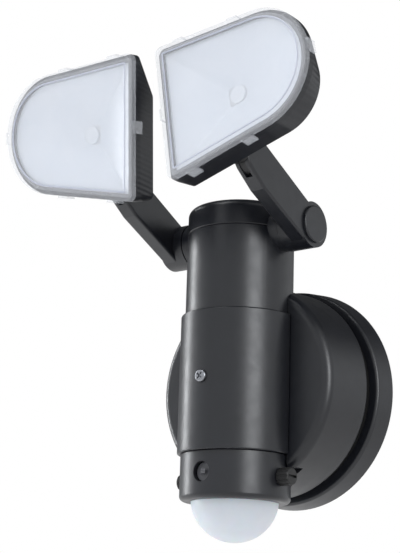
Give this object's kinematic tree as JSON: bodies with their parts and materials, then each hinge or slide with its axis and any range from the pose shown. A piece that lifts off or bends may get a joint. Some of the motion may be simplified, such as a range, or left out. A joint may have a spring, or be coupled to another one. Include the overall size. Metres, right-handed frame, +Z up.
{
  "type": "motion sensor security light",
  "caption": "Wall light: round wall base with an upright tube, lamp heads on folding arms, tilt and swivel joints, and a panning motion sensor with a milky dome below",
  "frame": {"origin": "centre of the flat wall face of the round plate, on the wall", "axes": "+Z up, +Y into the wall, -Y to the front, +X to the right seen from the front"},
  "size_m": [0.1649, 0.1253, 0.2124],
  "materials": {
    "dark_housing": "fine moulded grain, charcoal",
    "black_trim": "black moulded plastic",
    "seal_rubber": "soft black seal",
    "clear_lens": "clear cover with a pale rim",
    "milky_dome": "translucent milky dome",
    "reflector_white": "pale reflector",
    "zinc_steel": "zinc plated screws",
    "black_steel": "blackened steel pin",
    "board_green": "circuit board",
    "board_aluminium": "light source board",
    "led_yellow": "phosphor coating",
    "terminal_white": "terminal block",
    "electronic_black": "transformer and capacitors",
    "dial_grey": "moulded dial"
  },
  "bodies": {
    "base": {"wall_plate": "dark_housing", "wall_seal": "seal_rubber", "neck_seal": "seal_rubber", "cable_grommet": "seal_rubber", "drum_housing": "dark_housing", "terminal_block": "terminal_white", "terminal_screws": "zinc_steel", "driver_board": "board_green", "driver_parts": "electronic_black", "tube_body": "dark_housing", "tube_cap": "dark_housing", "cap_seal": "seal_rubber", "band_cover": "dark_housing", "lock_screws": "zinc_steel", "cap_screws": "zinc_steel", "band_screw": "zinc_steel", "tube_screws": "zinc_steel", "arm_trunnion_left": "dark_housing", "pivot_washer_left": "zinc_steel", "pivot_screw_left": "zinc_steel", "arm_trunnion_right": "dark_housing", "pivot_washer_right": "zinc_steel", "pivot_screw_right": "zinc_steel"},
    "sensor_head": {"sensor_housing": "dark_housing", "sensor_retainer": "black_trim", "sensor_dome": "milky_dome", "sensor_board": "board_green", "infrared_sensor": "zinc_steel", "dial_potentiometers": "electronic_black"},
    "front_dial": {"front_dial": "dial_grey"},
    "side_knob_left": {"side_knob_left": "black_trim"},
    "arm_left": {"arm_left": "dark_housing", "arm_cap_left": "dark_housing", "tilt_pin_left": "black_steel"},
    "bracket_left": {"head_bracket_left": "black_trim", "swivel_screw_left": "zinc_steel"},
    "head_left": {"head_housing_left": "dark_housing", "head_lens_left": "clear_lens", "lens_gasket_left": "seal_rubber", "reflector_left": "reflector_white", "led_board_left": "board_aluminium", "led_chip_left": "led_yellow"},
    "side_knob_right": {"side_knob_right": "black_trim"},
    "arm_right": {"arm_right": "dark_housing", "arm_cap_right": "dark_housing", "tilt_pin_right": "black_steel"},
    "bracket_right": {"head_bracket_right": "black_trim", "swivel_screw_right": "zinc_steel"},
    "head_right": {"head_housing_right": "dark_housing", "head_lens_right": "clear_lens", "lens_gasket_right": "seal_rubber", "reflector_right": "reflector_white", "led_board_right": "board_aluminium", "led_chip_right": "led_yellow"}
  },
  "joints": [
    {"name": "sensor_pan", "type": "hinge", "parent": "base", "child": "sensor_head", "pos_m": [0, -0.048, -0.0321], "axis": [0, 0, 1], "range_deg": [-12, 12]},
    {"name": "front_dial_turn", "type": "hinge", "parent": "sensor_head", "child": "front_dial", "pos_m": [0, -0.07, -0.041], "axis": [0, 1, 0], "range_deg": [-135, 135]},
    {"name": "side_knob_left_turn", "type": "hinge", "parent": "sensor_head", "child": "side_knob_left", "pos_m": [-0.026, -0.048, -0.042], "axis": [1, 0, 0], "range_deg": [-135, 135]},
    {"name": "arm_left_fold", "type": "hinge", "parent": "base", "child": "arm_left", "pos_m": [-0.0361, -0.048, 0.0682], "axis": [1, 0, 0], "range_deg": [-45, 35]},
    {"name": "head_left_tilt", "type": "hinge", "parent": "arm_left", "child": "bracket_left", "pos_m": [-0.0361, -0.08916, 0.08828], "axis": [1, 0, 0], "range_deg": [-25, 28]},
    {"name": "head_left_swivel", "type": "hinge", "parent": "bracket_left", "child": "head_left", "pos_m": [-0.0361, -0.08916, 0.08828], "axis": [0, 0.9781, 0.2079], "range_deg": [-60, 0]},
    {"name": "side_knob_right_turn", "type": "hinge", "parent": "sensor_head", "child": "side_knob_right", "pos_m": [0.026, -0.048, -0.042], "axis": [1, 0, 0], "range_deg": [-135, 135]},
    {"name": "arm_right_fold", "type": "hinge", "parent": "base", "child": "arm_right", "pos_m": [0.0361, -0.048, 0.0682], "axis": [1, 0, 0], "range_deg": [-45, 35]},
    {"name": "head_right_tilt", "type": "hinge", "parent": "arm_right", "child": "bracket_right", "pos_m": [0.0361, -0.08916, 0.08828], "axis": [1, 0, 0], "range_deg": [-25, 40]},
    {"name": "head_right_swivel", "type": "hinge", "parent": "bracket_right", "child": "head_right", "pos_m": [0.0361, -0.08916, 0.08828], "axis": [0, 0.9993, -0.0384], "range_deg": [0, 60]}
  ]
}
